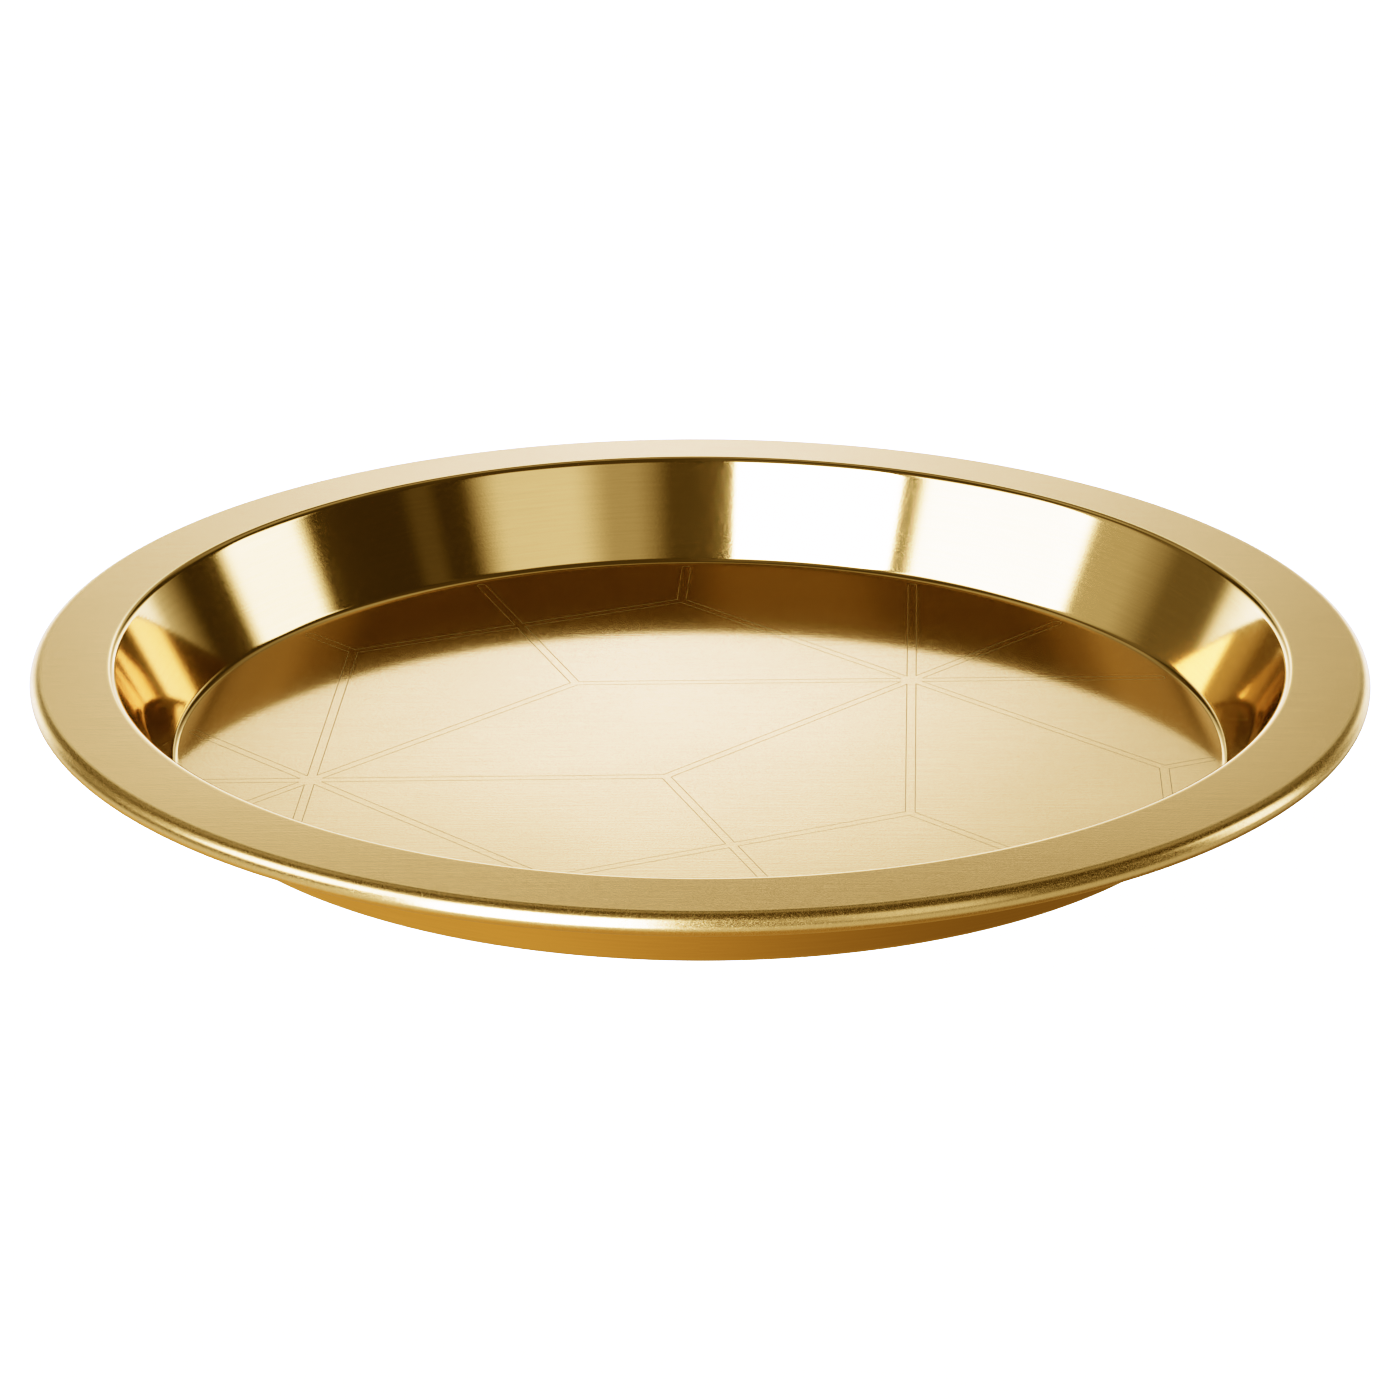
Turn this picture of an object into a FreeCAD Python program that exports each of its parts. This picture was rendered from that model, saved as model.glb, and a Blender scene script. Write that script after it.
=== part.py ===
import FreeCAD, Part
import math
import os

# A round brass tray: one sheet pan, spun or pressed to shape, with its outer edge rolled over a wire.
# Millimetres. +Z is up, and the origin is the centre of the flat underside.

# Driving dimensions of the pan
overall_radius = 190.0      # outside of the rolled edge
rim_height = 30.9           # top of the flange, where it meets the wall
sheet = 0.8                 # thickness of the brass sheet
flat_radius = 149.5         # flat part of the base
wall_rise = 63.0            # degrees from the base plane to the wall
flange_fall = 1.2           # degrees that the flange slopes down towards its edge
foot_bend_radius = 3.1      # middle of the sheet, where the base turns up into the wall
rim_bend_radius = 2.0       # middle of the sheet, where the wall turns out into the flange

# Driving dimensions of the rolled edge
wire_radius = 2.5
wire_clearance = 0.05       # between the wire and the sheet rolled around it
curl_angle = 300.0          # degrees that the sheet is rolled
wire_gap = 1.0              # between the two cut ends of the wire

# Driving dimensions of the engraved pattern
band_width = 2.7            # between the centre lines of the two grooves that outline a band
groove_width = 0.3
groove_depth = 0.15
engraved_radius = 149.0     # the bands end here, just inside the foot bend
star_place = FreeCAD.Vector(-109.6, -31.0, 0)       # centre of one eight-rayed star
repeat_one = FreeCAD.Vector(172.6, 78.9, 0)         # from a star to its neighbour along one row
repeat_two = FreeCAD.Vector(-64.1, 170.1, 0)        # from a star to its neighbour in the next row
corner_shift = 0.213        # how far a three-way corner stands from the line between stars

# Worked out from the above
curl_radius = wire_radius + wire_clearance + sheet / 2
outer_curl_radius = curl_radius + sheet / 2
wire_ring_radius = overall_radius - outer_curl_radius


def rise_length():
    """Length of the straight wall between its two bends."""
    bend_heights = (foot_bend_radius + rim_bend_radius) * (1 - math.cos(math.radians(wall_rise)))
    straight_height = rim_height - sheet - bend_heights
    return straight_height / math.sin(math.radians(wall_rise))


def flange_length():
    """Length of the flange from the top of the wall to the start of the curl."""
    rise = math.radians(wall_rise)
    fall = math.radians(flange_fall)
    foot_reach = foot_bend_radius * math.sin(rise)
    top_reach = rim_bend_radius * (math.sin(rise) + math.sin(fall))
    start = flat_radius + foot_reach + rise_length() * math.cos(rise) + top_reach
    end = wire_ring_radius + curl_radius * math.sin(fall)
    return (end - start) / math.cos(fall)


def sheet_path():
    """The middle of the sheet from the axis outwards, as (run, bend radius, left turn in degrees)."""
    return [
        (flat_radius, foot_bend_radius, wall_rise),
        (rise_length(), rim_bend_radius, -wall_rise - flange_fall),
        (flange_length(), curl_radius, -curl_angle),
    ]


def direction(degrees):
    """Unit vector in the XZ plane at an angle above +X."""
    angle = math.radians(degrees)
    return FreeCAD.Vector(math.cos(angle), 0, math.sin(angle))


def sheet_side(offset):
    """Edges along one face of the sheet, and where they end: offset is measured from its middle."""
    place = FreeCAD.Vector(0, 0, sheet / 2 + offset)
    heading = 0.0
    edges = []
    for run, radius, turn in sheet_path():
        corner = place + direction(heading) * run
        edges.append(Part.LineSegment(place, corner).toShape())
        side = 1 if turn > 0 else -1
        face_radius = radius - side * offset
        centre = corner + direction(heading + side * 90) * face_radius
        half_way = centre + direction(heading - side * 90 + turn / 2) * face_radius
        place = centre + direction(heading - side * 90 + turn) * face_radius
        edges.append(Part.Arc(corner, half_way, place).toShape())
        heading += turn
    return edges, place


def curl_centre_height():
    """Height of the centre of the curl and of the wire inside it."""
    fall = math.radians(flange_fall)
    top_of_bend = rim_height - sheet / 2 - rim_bend_radius * (1 - math.cos(fall))
    end_of_flange = top_of_bend - flange_length() * math.sin(fall)
    return end_of_flange - curl_radius * math.cos(fall)


def blank_pan():
    """The plain pan: base, wall, flange and curl turned from one section of sheet."""
    upper, upper_end = sheet_side(sheet / 2)
    lower, lower_end = sheet_side(-sheet / 2)
    cut_edge = Part.LineSegment(upper_end, lower_end).toShape()
    axis_edge = Part.LineSegment(FreeCAD.Vector(0, 0, 0), FreeCAD.Vector(0, 0, sheet)).toShape()
    outline = Part.Wire(Part.__sortEdges__(upper + [cut_edge] + lower + [axis_edge]))
    section = Part.Face(outline)
    return section.revolve(FreeCAD.Vector(0, 0, 0), FreeCAD.Vector(0, 0, 1), 360)


def pattern_point(one, two):
    """A point of the pattern, counted in repeats from the first star."""
    return star_place + repeat_one * one + repeat_two * two


def repeat_bands(one, two):
    """The twelve bands that belong to one repeat of the pattern, as pairs of points."""
    bands = []
    crossing = pattern_point(one + 0.5, two + 0.5)
    corners = [
        ((0.5, corner_shift), ((0, 0), (1, 0))),
        ((0.5, 1 - corner_shift), ((0, 1), (1, 1))),
        ((corner_shift, 0.5), ((0, 0), (0, 1))),
        ((1 - corner_shift, 0.5), ((1, 0), (1, 1))),
    ]
    for (along, across), stars in corners:
        corner = pattern_point(one + along, two + across)
        bands.append((crossing, corner))
        for star_one, star_two in stars:
            bands.append((corner, pattern_point(one + star_one, two + star_two)))
    return bands


def inside_stretch(start, end, radius):
    """The part of a line inside a circle about the axis, as two fractions of it, or None."""
    step = end - start
    a = step.dot(step)
    b = 2 * start.dot(step)
    c = start.dot(start) - radius ** 2
    root = b * b - 4 * a * c
    if root <= 0:
        return None
    first = max(0.0, (-b - math.sqrt(root)) / (2 * a))
    last = min(1.0, (-b + math.sqrt(root)) / (2 * a))
    return (first, last) if last - first > band_width / step.Length else None


def band_strip(start, end, width, height):
    """Flat-topped strip along one band, with a round end where it meets the edge of the pattern."""
    stretch = inside_stretch(start, end, engraved_radius - band_width / 2)
    if stretch is None:
        return []
    step = end - start
    first = start + step * stretch[0]
    last = start + step * stretch[1]
    side = FreeCAD.Vector(-step.y, step.x, 0).normalize() * (width / 2)
    corners = [first + side, last + side, last - side, first - side]
    up = FreeCAD.Vector(0, 0, height)
    shapes = [Part.Face(Part.makePolygon(corners + corners[:1])).extrude(up)]
    if stretch[0] > 0:
        shapes.append(Part.makeCylinder(width / 2, height, first))
    if stretch[1] < 1:
        shapes.append(Part.makeCylinder(width / 2, height, last))
    return shapes


def band_network(width, height):
    """All the bands inside the base, joined into one flat shape of the given width."""
    strips = []
    for one in range(-2, 3):
        for two in range(-2, 3):
            for start, end in repeat_bands(one, two):
                strips += band_strip(start, end, width, height)
    return strips[0].multiFuse(strips[1:]).removeSplitter()


def pattern_grooves():
    """The grooves that outline every band, as solids that reach just above the base."""
    height = 2 * groove_depth
    wide = band_network(band_width + groove_width, height)
    narrow = band_network(band_width - groove_width, height)
    grooves = wide.cut(narrow)
    grooves.translate(FreeCAD.Vector(0, 0, sheet - groove_depth))
    return grooves


def tray_pan():
    """The sheet pan with its engraved base."""
    return blank_pan().cut(pattern_grooves())


def edge_wire():
    """The stiffening wire inside the rolled edge: a ring whose cut ends nearly meet at the back."""
    centre = FreeCAD.Vector(wire_ring_radius, 0, curl_centre_height())
    section = Part.Face(Part.Wire(Part.makeCircle(wire_radius, centre, FreeCAD.Vector(0, 1, 0))))
    gap_angle = math.degrees(wire_gap / wire_ring_radius)
    axis = FreeCAD.Vector(0, 0, 1)
    section.rotate(FreeCAD.Vector(0, 0, 0), axis, 90 + gap_angle / 2)
    return section.revolve(FreeCAD.Vector(0, 0, 0), axis, 360 - gap_angle)


def write(name, shape):
    """One closed solid, saved as the STEP file of its node."""
    assert shape.isValid() and len(shape.Solids) == 1, name
    solid = shape.Solids[0]
    solid.exportStep(os.path.join("parts", name + ".step"))
    box = solid.optimalBoundingBox()
    print(name, "volume", round(solid.Volume), "box", round(box.XLength, 2), round(box.YLength, 2),
          round(box.ZMin, 3), round(box.ZMax, 3))


os.makedirs("parts", exist_ok=True)
write("tray_pan", tray_pan())
write("edge_wire", edge_wire())
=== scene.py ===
import math

import bmesh
import bpy
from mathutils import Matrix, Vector
from mathutils.geometry import delaunay_2d_cdt


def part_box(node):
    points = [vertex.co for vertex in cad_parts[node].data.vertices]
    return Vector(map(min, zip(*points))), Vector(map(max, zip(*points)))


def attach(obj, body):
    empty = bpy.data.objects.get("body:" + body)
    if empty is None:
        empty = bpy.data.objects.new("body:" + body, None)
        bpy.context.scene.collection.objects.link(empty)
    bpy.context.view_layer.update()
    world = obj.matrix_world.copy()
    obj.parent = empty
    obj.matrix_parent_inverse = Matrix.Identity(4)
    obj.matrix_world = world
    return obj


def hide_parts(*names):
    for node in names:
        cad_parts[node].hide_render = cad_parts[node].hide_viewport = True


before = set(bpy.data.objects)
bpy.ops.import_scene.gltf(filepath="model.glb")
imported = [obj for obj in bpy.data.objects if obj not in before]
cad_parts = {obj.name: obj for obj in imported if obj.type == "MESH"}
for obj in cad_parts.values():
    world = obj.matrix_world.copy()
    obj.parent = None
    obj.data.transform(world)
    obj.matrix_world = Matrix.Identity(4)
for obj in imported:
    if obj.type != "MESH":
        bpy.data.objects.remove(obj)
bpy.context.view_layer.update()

# Everything below is in metres. +Z is up, and the camera looks along +Y.

# Sizes read from the frame
pan_low, pan_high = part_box("tray_pan")
wire_low, wire_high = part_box("edge_wire")
overall_radius = pan_high.x
rim_height = pan_high.z
wire_radius = (wire_high.z - wire_low.z) / 2
curl_height = (wire_high.z + wire_low.z) / 2

# Sizes that the frame's boxes don't give, as in the design
sheet = 0.0008              # thickness of the brass sheet
wire_clearance = 0.00005
flat_radius = 0.1495        # flat part of the base
foot_bend_radius = 0.0031   # middle of the sheet, where the base turns up into the wall
rim_bend_radius = 0.0020    # middle of the sheet, where the wall turns out into the flange
wall_rise = math.radians(63.0)
flange_fall = math.radians(1.2)
curl_turn = math.radians(300.0)
curl_radius = wire_radius + wire_clearance + sheet / 2
curl_ring_radius = overall_radius - curl_radius - sheet / 2

# The engraved pattern: bands outlined by two grooves, on a slanted square grid of eight-rayed stars
band_width = 0.0027
groove_width = 0.0002
groove_depth = 0.00004
engraved_radius = 0.149
star_place = Vector((-0.1096, -0.0310))
repeat_one = Vector((0.1726, 0.0789))
repeat_two = Vector((-0.0641, 0.1701))
corner_shift = 0.213        # how far a band's corner lies into its square, as a share of the square
pattern_reach = 2           # squares of the pattern to each side of its first one

# Fineness of the mesh
steps_around = 480
arc_step = math.radians(6.0)
run_steps = 6
cap_steps = 8
bend_margin = 0.0004        # a run's first and last points are this close to its bends
largest_margin_share = 0.1  # but no more than this share of the run
base_margin = 0.0005        # a strip of the base this wide borders the foot bend
weld_distance = 1e-7        # pattern points this close become one


# ---------------------------------------------------------------- the sheet's cross-section

def run_length():
    """Length of the straight wall between its two bends."""
    bend_heights = (foot_bend_radius + rim_bend_radius) * (1 - math.cos(wall_rise))
    return (rim_height - sheet - bend_heights) / math.sin(wall_rise)


def flange_length():
    """Length of the flange from the top of the wall to the start of the curl."""
    foot_reach = foot_bend_radius * math.sin(wall_rise)
    top_reach = rim_bend_radius * (math.sin(wall_rise) + math.sin(flange_fall))
    start = flat_radius + foot_reach + run_length() * math.cos(wall_rise) + top_reach
    end = curl_ring_radius + curl_radius * math.sin(flange_fall)
    return (end - start) / math.cos(flange_fall)


def heading_vector(angle):
    """Unit vector (radius, height) at an angle above the base plane."""
    return Vector((math.cos(angle), math.sin(angle)))


def run_points(start, heading, length, pieces):
    """Points along a straight run, with close ones at its ends that keep the bends' shading off it."""
    end_share = min(bend_margin / length, largest_margin_share)
    shares = [end_share] + [k / pieces for k in range(1, pieces)] + [1 - end_share, 1]
    return [start + heading_vector(heading) * (length * share) for share in shares]


def bend_points(centre, radius, first, turn):
    """Points along an arc, without its first one."""
    count = max(3, math.ceil(abs(turn) / arc_step))
    return [centre + heading_vector(first + turn * k / count) * radius for k in range(1, count + 1)]


def sheet_side(offset):
    """(radius, height) points along one face of the sheet, from the edge of the flat base outwards."""
    path = [
        (None, foot_bend_radius, wall_rise),
        (run_length(), rim_bend_radius, -wall_rise - flange_fall),
        (flange_length(), curl_radius, -curl_turn),
    ]
    place = Vector((flat_radius, sheet / 2 + offset))
    points = [place - Vector((base_margin, 0.0)), place]
    heading = 0.0
    for length, radius, turn in path:
        if length is not None:
            points += run_points(place, heading, length, run_steps)
            place = points[-1]
        side = 1 if turn > 0 else -1
        face_radius = radius - side * offset
        centre = place + heading_vector(heading + side * math.pi / 2) * face_radius
        points += bend_points(centre, face_radius, heading - side * math.pi / 2, turn)
        place = points[-1]
        heading += turn
    return points


# ---------------------------------------------------------------- the engraved pattern

def pattern_point(one, two):
    """The place that lies a number of repeats along each direction from the first star."""
    return star_place + repeat_one * one + repeat_two * two


def pattern_bands():
    """Every band near the base, as a pair of pattern points."""
    corners = [
        ((0.5, corner_shift), ((0, 0), (1, 0))),
        ((0.5, 1 - corner_shift), ((0, 1), (1, 1))),
        ((corner_shift, 0.5), ((0, 0), (0, 1))),
        ((1 - corner_shift, 0.5), ((1, 0), (1, 1))),
    ]
    bands = []
    repeats = range(-pattern_reach, pattern_reach + 1)
    for one in repeats:
        for two in repeats:
            crossing = pattern_point(one + 0.5, two + 0.5)
            for (along, across), stars in corners:
                corner = pattern_point(one + along, two + across)
                bands.append((crossing, corner))
                bands += [(corner, pattern_point(one + a, two + b)) for a, b in stars]
    return bands


def inside_stretch(start, end, radius):
    """The part of a line inside a circle about the axis, as two fractions of it, or None."""
    step = end - start
    a = step.dot(step)
    b = 2 * start.dot(step)
    root = b * b - 4 * a * (start.dot(start) - radius ** 2)
    if root <= 0:
        return None
    first = max(0.0, (-b - math.sqrt(root)) / (2 * a))
    last = min(1.0, (-b + math.sqrt(root)) / (2 * a))
    return (first, last) if last - first > band_width / step.length else None


def point_key(point):
    """The same value for points that differ only by rounding."""
    return round(point.x, 5), round(point.y, 5)


def rays_by_point(bands):
    """For each point of the pattern, the directions of the bands that leave it, in order of angle."""
    rays = {}
    for start, end in bands:
        for here, there in ((start, end), (end, start)):
            step = there - here
            rays.setdefault(point_key(here), set()).add(round(math.atan2(step.y, step.x), 4))
    return {key: sorted(angles) for key, angles in rays.items()}


def mitre(point, angle, side, half, rays):
    """Where a groove beside one band meets the groove beside the next band round a point."""
    angles = rays[point_key(point)]
    nearest = min(range(len(angles)), key=lambda k: abs(angles[k] - angle))
    neighbour = angles[(nearest + side) % len(angles)]
    gap = (side * (neighbour - angles[nearest])) % (2 * math.pi)
    middle = angles[nearest] + side * gap / 2
    return point + Vector((math.cos(middle), math.sin(middle))) * (half / math.sin(gap / 2))


def side_groove(start, end, half, side, rays):
    """One side line of a band at a distance from its middle, cut square where the pattern ends."""
    stretch = inside_stretch(start, end, engraved_radius - band_width)
    step = end - start
    angle = math.atan2(step.y, step.x)
    square = Vector((-step.y, step.x)).normalized() * (side * half)
    if stretch[0] > 0:
        first = start + step * stretch[0] + square
    else:
        first = mitre(start, angle, side, half, rays)
    if stretch[1] < 1:
        last = start + step * stretch[1] + square
    else:
        back = math.atan2(-step.y, -step.x)
        last = mitre(end, back, -side, half, rays)
    return [first, last]


def band_cap(start, end, half):
    """The round end of a band that runs out of the pattern, as a list of points, for each open end."""
    stretch = inside_stretch(start, end, engraved_radius - band_width)
    step = end - start
    angle = math.atan2(step.y, step.x)
    caps = []
    for share, outward in ((stretch[0], angle + math.pi), (stretch[1], angle)):
        if 0 < share < 1:
            centre = start + step * share
            turns = [outward + math.pi * (k / cap_steps - 0.5) for k in range(cap_steps + 1)]
            caps.append([centre + Vector((math.cos(t), math.sin(t))) * half for t in turns])
    return caps


def groove_lines():
    """Every groove as three nearly parallel lines: (points, lies at the bottom of the groove)."""
    bands = pattern_bands()
    rays = rays_by_point(bands)
    lines = []
    for start, end in bands:
        if inside_stretch(start, end, engraved_radius - band_width) is None:
            continue
        for spread in (-1, 0, 1):
            half = band_width / 2 + spread * groove_width / 2
            for side in (-1, 1):
                lines.append((side_groove(start, end, half, side, rays), spread == 0))
            lines += [(cap, spread == 0) for cap in band_cap(start, end, half)]
    return lines


def engraved_disc(mesh, ring):
    """Fills the ring of vertices at the edge of the base with a flat disc that carries the grooves.

    The sloping sides of the grooves get their own finish.
    """
    points = [Vector((vert.co.x, vert.co.y)) for vert in ring]
    edges = [(k, (k + 1) % len(ring)) for k in range(len(ring))]
    low = set()
    for line, is_bottom in groove_lines():
        first = len(points)
        points += line
        edges += [(first + k, first + k + 1) for k in range(len(line) - 1)]
        if is_bottom:
            low.update(range(first, first + len(line)))
    places, _, faces, origins, _, _ = delaunay_2d_cdt(points, edges, [], 0, weld_distance)
    height = ring[0].co.z
    verts = []
    for place, sources in zip(places, origins):
        rim = [k for k in sources if k < len(ring)]
        depth = groove_depth if any(k in low for k in sources) else 0.0
        verts.append(ring[rim[0]] if rim else mesh.verts.new((place.x, place.y, height - depth)))
    for face in faces:
        made = mesh.faces.new([verts[k] for k in face])
        made.smooth = False
        if min(vert.co.z for vert in made.verts) < height - groove_depth / 2:
            made.material_index = groove_slot
        if made.normal.z < 0:
            made.normal_flip()


# ---------------------------------------------------------------- the pan

def ring_of(mesh, point):
    """A ring of vertices about the axis at one (radius, height)."""
    turn = 2 * math.pi / steps_around
    return [mesh.verts.new((point.x * math.cos(k * turn), point.x * math.sin(k * turn), point.y))
            for k in range(steps_around)]


def skin(mesh, inner, outer):
    """Quads between two rings."""
    for k in range(steps_around):
        following = (k + 1) % steps_around
        mesh.faces.new((inner[k], outer[k], outer[following], inner[following])).smooth = True


def tray_pan():
    """The pan as one closed mesh, turned from both faces of the sheet, with its engraved base."""
    mesh = bmesh.new()
    upper = [ring_of(mesh, point) for point in sheet_side(sheet / 2)]
    lower = [ring_of(mesh, point) for point in sheet_side(-sheet / 2)]
    outline = upper + lower[::-1]
    for inner, outer in zip(outline, outline[1:]):
        skin(mesh, inner, outer)
    bmesh.ops.recalc_face_normals(mesh, faces=mesh.faces[:])
    engraved_disc(mesh, upper[0])
    under = mesh.faces.new(lower[0][::-1])
    under.smooth = False
    bmesh.ops.triangulate(mesh, faces=[under])
    data = bpy.data.meshes.new("pan")
    mesh.to_mesh(data)
    mesh.free()
    piece = bpy.data.objects.new("pan", data)
    bpy.context.collection.objects.link(piece)
    return piece


# ---------------------------------------------------------------- materials

class Nodes:
    """Short ways to add the nodes that the materials and the light share."""

    def __init__(self, tree):
        self.tree = tree
        tree.nodes.clear()

    def add(self, kind, **settings):
        node = self.tree.nodes.new(kind)
        for name, value in settings.items():
            setattr(node, name, value)
        return node

    def feed(self, socket, value):
        if isinstance(value, bpy.types.NodeSocket):
            self.tree.links.new(value, socket)
        else:
            socket.default_value = value

    def math(self, operation, first, second=0.0, third=0.0):
        node = self.add("ShaderNodeMath", operation=operation)
        for socket, value in zip(node.inputs, (first, second, third)):
            self.feed(socket, value)
        return node.outputs[0]

    def ease(self, value, low, high, start=0.0, end=1.0):
        """A smooth step from one value to another between low and high."""
        node = self.add("ShaderNodeMapRange", interpolation_type="SMOOTHSTEP")
        for name, setting in (("Value", value), ("From Min", low), ("From Max", high),
                              ("To Min", start), ("To Max", end)):
            self.feed(node.inputs[name], setting)
        return node.outputs["Result"]

    def window(self, value, low, high, soft):
        """One between low and high, nought outside, with soft edges."""
        rise = self.ease(value, low - soft, low + soft)
        fall = self.ease(value, high - soft, high + soft, 1.0, 0.0)
        return self.math("MULTIPLY", rise, fall)

    def noise(self, vector, stretch, detail=2.0, roughness=0.5):
        """Noise stretched by a scale in each direction, in cycles per metre."""
        mapping = self.add("ShaderNodeMapping")
        self.feed(mapping.inputs["Vector"], vector)
        mapping.inputs["Scale"].default_value = stretch
        noise = self.add("ShaderNodeTexNoise")
        self.feed(noise.inputs["Vector"], mapping.outputs["Vector"])
        noise.inputs["Scale"].default_value = 1.0
        noise.inputs["Detail"].default_value = detail
        noise.inputs["Roughness"].default_value = roughness
        return noise.outputs["Fac"]

    def mix_colour(self, share, first, second):
        node = self.add("ShaderNodeMix", data_type="RGBA")
        self.feed(node.inputs["Factor"], share)
        self.feed(node.inputs["A"], first)
        self.feed(node.inputs["B"], second)
        return node.outputs["Result"]


pale_brass = (0.934, 0.605, 0.37)
deep_brass = (0.94, 0.625, 0.37)
dull_brass = (0.72, 0.58, 0.44)
streak_shade = 0.92         # colour of the darkest streaks as a share of the brass's own
dark_steel = (0.40, 0.40, 0.41)
pale_steel = (0.56, 0.56, 0.57)
flat_slot, wall_slot, edge_slot, groove_slot = range(4)

# Where the rolled edge's finish starts, on top of the tray and underneath
edge_top_radius = curl_ring_radius - 0.0002
edge_under_radius = curl_ring_radius - 1.2 * curl_radius

# Fineness of the finish, in cycles per metre
drift_scale = 14.0
tooth_scale = 1400.0
speck_scale = 6000.0


def brass(name, colour, place, grain_stretch, grain_height, roughness, haze, tooth_height):
    """Brass with a brushed grain, a fine tooth, specks of haze, and slow changes of tone and gloss.

    The place function gives the grain's coordinates: it takes the nodes and returns a socket in metres.
    """
    material = bpy.data.materials.new(name)
    material.use_nodes = True
    nodes = Nodes(material.node_tree)
    solid = nodes.add("ShaderNodeTexCoord").outputs["Object"]
    grain = nodes.noise(place(nodes, solid), grain_stretch, 3.0, 0.6)
    tooth = nodes.noise(solid, (tooth_scale,) * 3, 1.0)
    drift = nodes.noise(solid, (drift_scale,) * 3, 3.0)
    specks = nodes.noise(solid, (speck_scale,) * 3, 0.0)

    shader = nodes.add("ShaderNodeBsdfPrincipled")
    shader.inputs["Metallic"].default_value = 1.0
    darker = [part * streak_shade for part in colour]
    tone = nodes.ease(nodes.math("ADD", drift, grain), 0.7, 1.3)
    nodes.feed(shader.inputs["Base Color"], nodes.mix_colour(tone, (*colour, 1.0), (*darker, 1.0)))
    satin = nodes.ease(specks, 0.45, 0.75, roughness, roughness + haze)
    nodes.feed(shader.inputs["Roughness"], nodes.math("MULTIPLY_ADD", drift, 0.02, satin))

    tooth_bump = nodes.add("ShaderNodeBump")
    tooth_bump.inputs["Distance"].default_value = tooth_height
    nodes.feed(tooth_bump.inputs["Height"], tooth)
    grain_bump = nodes.add("ShaderNodeBump")
    grain_bump.inputs["Distance"].default_value = grain_height
    nodes.feed(grain_bump.inputs["Height"], grain)
    nodes.feed(grain_bump.inputs["Normal"], tooth_bump.outputs["Normal"])
    nodes.feed(shader.inputs["Normal"], grain_bump.outputs["Normal"])

    output = nodes.add("ShaderNodeOutputMaterial")
    nodes.feed(output.inputs["Surface"], shader.outputs["BSDF"])
    return material


def straight(nodes, solid):
    """Coordinates as they are, for flat surfaces."""
    return solid


def round_the_axis(nodes, solid):
    """Coordinates that follow a turned surface: along its circle at the rim's radius, and its height."""
    split = nodes.add("ShaderNodeSeparateXYZ")
    nodes.feed(split.inputs[0], solid)
    turned = nodes.math("MULTIPLY", nodes.math("ARCTAN2", split.outputs["X"], split.outputs["Y"]),
                        overall_radius)
    joined = nodes.add("ShaderNodeCombineXYZ")
    nodes.feed(joined.inputs["X"], turned)
    nodes.feed(joined.inputs["Y"], split.outputs["Z"])
    return joined.outputs[0]


def flat_brass():
    """The base and the flange: sheet brushed along X."""
    return brass("flat_brass", pale_brass, straight, grain_stretch=(40.0, 1500.0, 1500.0),
                 grain_height=6.0e-6, roughness=0.04, haze=0.22, tooth_height=5.0e-6)


def wall_brass():
    """The wall and its bends, brushed round the axis."""
    return brass("wall_brass", deep_brass, round_the_axis, grain_stretch=(35.0, 1300.0, 1.0),
                 grain_height=6.0e-6, roughness=0.04, haze=0.09, tooth_height=3.0e-6)


def edge_brass():
    """The rolled edge, softer in gloss than the sheet, with fine forming marks across it."""
    return brass("edge_brass", deep_brass, round_the_axis, grain_stretch=(700.0, 300.0, 1.0),
                 grain_height=1.0e-5, roughness=0.2, haze=0.25, tooth_height=4.0e-6)


def cut_brass():
    """The sides of the engraved grooves, left dull by the graver."""
    return brass("cut_brass", dull_brass, straight, grain_stretch=(900.0, 900.0, 900.0),
                 grain_height=2.0e-6, roughness=0.4, haze=0.0, tooth_height=1.0e-6)


def drawn_steel():
    """The wire inside the rolled edge."""
    material = bpy.data.materials.new("drawn_steel")
    material.use_nodes = True
    nodes = Nodes(material.node_tree)
    place = nodes.add("ShaderNodeTexCoord").outputs["Object"]
    lines = nodes.noise(place, (40.0, 40.0, 900.0), 3.0)
    shader = nodes.add("ShaderNodeBsdfPrincipled")
    shader.inputs["Metallic"].default_value = 1.0
    nodes.feed(shader.inputs["Base Color"],
               nodes.mix_colour(lines, (*dark_steel, 1.0), (*pale_steel, 1.0)))
    nodes.feed(shader.inputs["Roughness"], nodes.math("MULTIPLY_ADD", lines, 0.2, 0.25))
    output = nodes.add("ShaderNodeOutputMaterial")
    nodes.feed(output.inputs["Surface"], shader.outputs["BSDF"])
    return material


def paint_pan(piece):
    """Gives each part of the pan its finish. The grooves already have theirs."""
    for material in (flat_brass(), wall_brass(), edge_brass(), cut_brass()):
        piece.data.materials.append(material)
    bend_reaches = (foot_bend_radius + rim_bend_radius + sheet) * math.sin(wall_rise)
    wall_end = flat_radius + run_length() * math.cos(wall_rise) + bend_reaches
    for face in piece.data.polygons:
        radius = math.hypot(face.center.x, face.center.y)
        under_curl = face.center.z < curl_height and radius > edge_under_radius
        if radius > edge_top_radius or under_curl:
            face.material_index = edge_slot
        elif flat_radius < radius < wall_end:
            face.material_index = wall_slot


# ---------------------------------------------------------------- light

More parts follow.
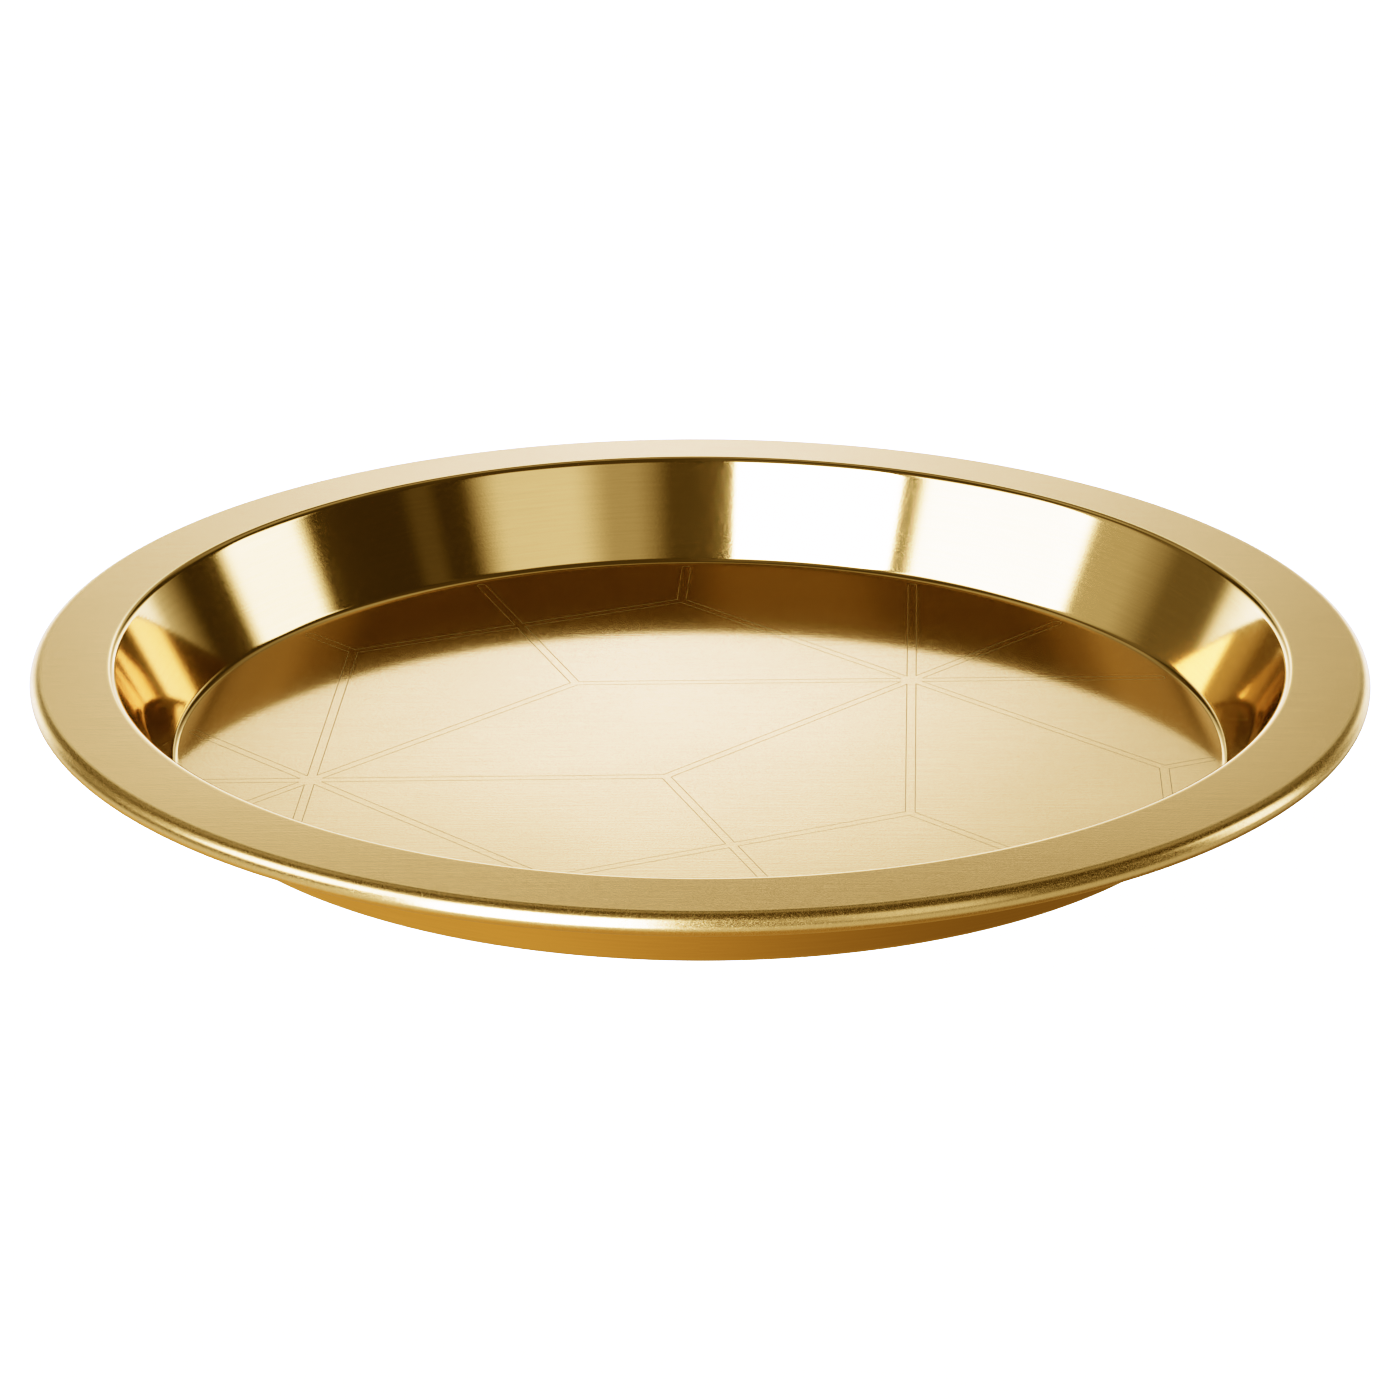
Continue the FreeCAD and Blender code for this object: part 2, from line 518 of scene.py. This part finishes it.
# Soft boxes and boards around the tray, as seen from it. Azimuth is from the camera, positive to its
# right, and elevation is above the floor, both in degrees. Each is
# (azimuth from, to, soft edge, elevation from, to, soft edge, brightness).
boards = [
    (-45.5, -8.0, 1.2, -30.0, 46.0, 10.0, 9.0),
    (-52.0, -44.0, 1.5, -30.0, 46.0, 10.0, 0.22),
    (-90.4, -50.5, 2.2, 8.0, 42.0, 9.0, 5.0),
    (-108.0, -88.0, 7.0, 4.0, 44.0, 8.0, 0.65),
    (-129.0, -108.0, 3.0, 0.0, 40.0, 8.0, 0.12),
    (-150.0, -130.5, 1.5, -12.0, 6.0, 4.0, 0.8),
    (-72.0, -5.0, 14.0, 55.0, 88.0, 10.0, 0.11),
    (-8.0, 12.0, 1.0, -30.0, 40.0, 6.0, 0.03),
    (11.0, 49.5, 5.0, -6.0, 42.0, 5.0, 0.5),
    (25.0, 50.0, 5.0, -6.0, 42.0, 5.0, 0.75),
    (61.0, 67.0, 2.0, 4.0, 38.0, 4.0, 0.06),
    (92.5, 113.5, 3.0, -12.0, 28.0, 5.0, 3.6),
    (138.5, 167.0, 3.0, -12.0, 14.0, 6.0, 1.3),
    (-166.0, -130.5, 3.0, -12.0, 15.0, 7.0, 1.1),
    (134.0, 165.0, 7.0, 34.0, 52.0, 6.0, 0.3),
    (-165.0, -134.0, 7.0, 34.0, 52.0, 6.0, 0.36),
]

# Brightness of the rest of the studio, where a pale wall in good light is about 1
room_side = 0.035
room_top = 0.06
patch_top = 2.4
patch_foot = 0.4            # as a share of the patch's top
haze_left = 0.8
haze_right = 0.51
backdrop_foot = 1.4
ceiling_back = 0.4
floor_left = 0.95
floor_right = 0.65
amber_left = 0.84
amber_right = 0.18
amber = (1.0, 0.65, 0.36)


def board_light(nodes, azimuth, elevation):
    """A dark room, slightly lighter overhead, with the soft boxes and boards."""
    light = nodes.ease(elevation, 30.0, 60.0, room_side, room_top)
    for left, right, soft, low, high, soft_height, level in boards:
        mask = nodes.math("MULTIPLY", nodes.window(azimuth, left, right, soft),
                          nodes.window(elevation, low, high, soft_height))
        light = nodes.math("MULTIPLY_ADD", mask, level, light)
    return light


def backdrop_light(nodes, behind, elevation):
    """The pale backdrop: a bright patch in its middle, a haze that is weaker on the right, a bright foot."""
    patch = nodes.math("MULTIPLY", nodes.ease(behind, -12.5, 1.0), nodes.ease(behind, 12.5, -2.0))
    patch = nodes.math("MULTIPLY", patch, nodes.ease(elevation, 26.0, 21.8, 0.0, patch_top))
    patch = nodes.math("MULTIPLY", patch, nodes.ease(elevation, 16.0, 20.5, patch_foot, 1.0))
    haze = nodes.math("MULTIPLY", nodes.window(behind, -16.0, 16.0, 4.0),
                      nodes.ease(elevation, 38.0, 28.0))
    haze = nodes.math("MULTIPLY", haze, nodes.ease(behind, -12.0, 10.0, haze_left, haze_right))
    foot = nodes.math("MULTIPLY", nodes.window(behind, -45.0, 45.0, 10.0),
                      nodes.ease(elevation, 20.0, 8.0, 0.0, backdrop_foot))
    backdrop = nodes.math("ADD", nodes.math("ADD", patch, haze), foot)
    return nodes.math("MULTIPLY", backdrop, nodes.ease(elevation, -26.0, -16.0))


def ceiling_light(nodes, along, elevation):
    """The ceiling, lit behind the tray."""
    lit = nodes.math("MULTIPLY", nodes.ease(elevation, 42.0, 58.0), nodes.ease(along, 0.25, 0.5))
    return nodes.math("MULTIPLY", lit, ceiling_back)


def floor_light(nodes, azimuth, elevation, depth):
    """The pale floor around the tray, dimmer on the right."""
    level = nodes.ease(azimuth, -30.0, 100.0, floor_left, floor_right)
    light = nodes.math("MULTIPLY", nodes.ease(elevation, -4.0, -24.0), level)
    return nodes.math("MULTIPLY", light, nodes.ease(depth, -65.0, -50.0))


def amber_light(nodes, across, depth):
    """The floor close to the tray's foot, which only sees brass, dimmer on the right."""
    level = nodes.ease(across, -0.5, 0.6, amber_left, amber_right)
    glow = nodes.add("ShaderNodeVectorMath", operation="SCALE")
    glow.inputs[0].default_value = amber
    nodes.feed(glow.inputs["Scale"], nodes.math("MULTIPLY", nodes.ease(depth, -50.0, -62.0), level))
    return glow.outputs[0]


def studio_light():
    """What the brass mirrors: a dark room with soft boxes, a pale backdrop and a pale floor."""
    world = bpy.data.worlds.new("studio")
    world.use_nodes = True
    bpy.context.scene.world = world
    nodes = Nodes(world.node_tree)
    split = nodes.add("ShaderNodeSeparateXYZ")
    nodes.feed(split.inputs[0], nodes.add("ShaderNodeTexCoord").outputs["Generated"])
    across, along, up = split.outputs
    azimuth = nodes.math("DEGREES", nodes.math("ARCTAN2", across, nodes.math("MULTIPLY", along, -1.0)))
    elevation = nodes.math("DEGREES", nodes.math("ARCSINE", up))
    behind = nodes.math("DEGREES", nodes.math("ARCTAN2", across, along))
    # The amber floor begins where this falls below about -55 degrees, so it reaches further at the back
    depth = nodes.math("SUBTRACT", elevation, nodes.ease(along, -0.2, 0.8, 0.0, 34.0))

    light = board_light(nodes, azimuth, elevation)
    light = nodes.math("ADD", light, backdrop_light(nodes, behind, elevation))
    light = nodes.math("ADD", light, ceiling_light(nodes, along, elevation))
    light = nodes.math("ADD", light, floor_light(nodes, azimuth, elevation, depth))
    total = nodes.add("ShaderNodeVectorMath", operation="ADD")
    nodes.feed(total.inputs[0], amber_light(nodes, across, depth))
    nodes.feed(total.inputs[1], light)

    background = nodes.add("ShaderNodeBackground")
    nodes.feed(background.inputs["Color"], total.outputs[0])
    output = nodes.add("ShaderNodeOutputWorld")
    nodes.feed(output.inputs["Surface"], background.outputs[0])
    world.cycles.sampling_method = "MANUAL"
    world.cycles.sample_map_resolution = 1024


lamp_size = 4.0             # across
lamp_height = 3.0
lamp_energy = 1100.0        # watts


def floor_lamp():
    """A wide soft lamp overhead that lights the floor and isn't mirrored in the brass."""
    data = bpy.data.lights.new("overhead", "AREA")
    data.shape = "DISK"
    data.size = lamp_size
    data.energy = lamp_energy
    data.use_shadow = False
    lamp = bpy.data.objects.new("overhead", data)
    lamp.location = (0.0, 0.0, lamp_height)
    lamp.visible_glossy = False
    bpy.context.collection.objects.link(lamp)


floor_half_width = 12.0
floor_gap = 0.0002          # keeps the floor clear of the tray's underside


def floor():
    """A plain pale floor. Brass mirrors the pale floor of the studio light instead of this one."""
    data = bpy.data.meshes.new("floor")
    half = floor_half_width
    corners = [(-half, -half), (half, -half), (half, half), (-half, half)]
    data.from_pydata([(*corner, -floor_gap) for corner in corners], [], [(0, 1, 2, 3)])
    piece = bpy.data.objects.new("floor", data)
    material = bpy.data.materials.new("pale_floor")
    material.use_nodes = True
    shader = material.node_tree.nodes["Principled BSDF"]
    shader.inputs["Base Color"].default_value = (0.9, 0.9, 0.9, 1.0)
    shader.inputs["Roughness"].default_value = 0.9
    shader.inputs["Specular IOR Level"].default_value = 0.0
    data.materials.append(material)
    piece.visible_glossy = False
    bpy.context.collection.objects.link(piece)


# ---------------------------------------------------------------- camera and tone

camera_elevation = math.radians(21.994)
camera_distance = 1.300
camera_lift = math.radians(0.5366)      # the view's centre line passes just above the tray's foot
camera_roll = math.radians(0.113)
focal_length = 116.03                   # millimetres, on a 36 mm wide sensor


def camera():
    """The photograph's own view."""
    data = bpy.data.cameras.new("camera")
    data.lens = focal_length
    data.sensor_width = 36.0
    data.clip_end = 50.0
    piece = bpy.data.objects.new("camera", data)
    piece.location = (0.0, -camera_distance * math.cos(camera_elevation),
                      camera_distance * math.sin(camera_elevation))
    piece.rotation_euler = (math.pi / 2 - camera_elevation + camera_lift, 0.0, 0.0)
    piece.rotation_euler.rotate_axis("Z", camera_roll)
    bpy.context.collection.objects.link(piece)
    bpy.context.scene.camera = piece


# How the film answers light
film_contrast = (0.97, 1.11, 1.64)      # in red, green and blue
film_white = 6.0                        # the light that it takes as white
film_steps = 16
film_crowding = 2.5                     # gathers the curve's points in the shadows


def film_tone():
    """A photograph's roll-off: bright brass fades to white, and dark brass turns deep amber."""
    settings = bpy.context.scene.view_settings
    settings.view_transform = "Standard"
    settings.use_curve_mapping = True
    mapping = settings.curve_mapping
    mapping.white_level = (film_white, film_white, film_white)
    for curve, contrast in zip(mapping.curves, film_contrast):
        for k in range(1, film_steps):
            share = (k / film_steps) ** film_crowding
            curve.points.new(share, 1 - math.exp(-(share * film_white) ** contrast))
    mapping.update()


# ---------------------------------------------------------------- the scene

pan = tray_pan()
paint_pan(pan)
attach(pan, "root")
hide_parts("tray_pan")

wire_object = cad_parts["edge_wire"]
steel = drawn_steel()
for material_slot in wire_object.material_slots:
    material_slot.material = steel

floor()
studio_light()
floor_lamp()
camera()
film_tone()
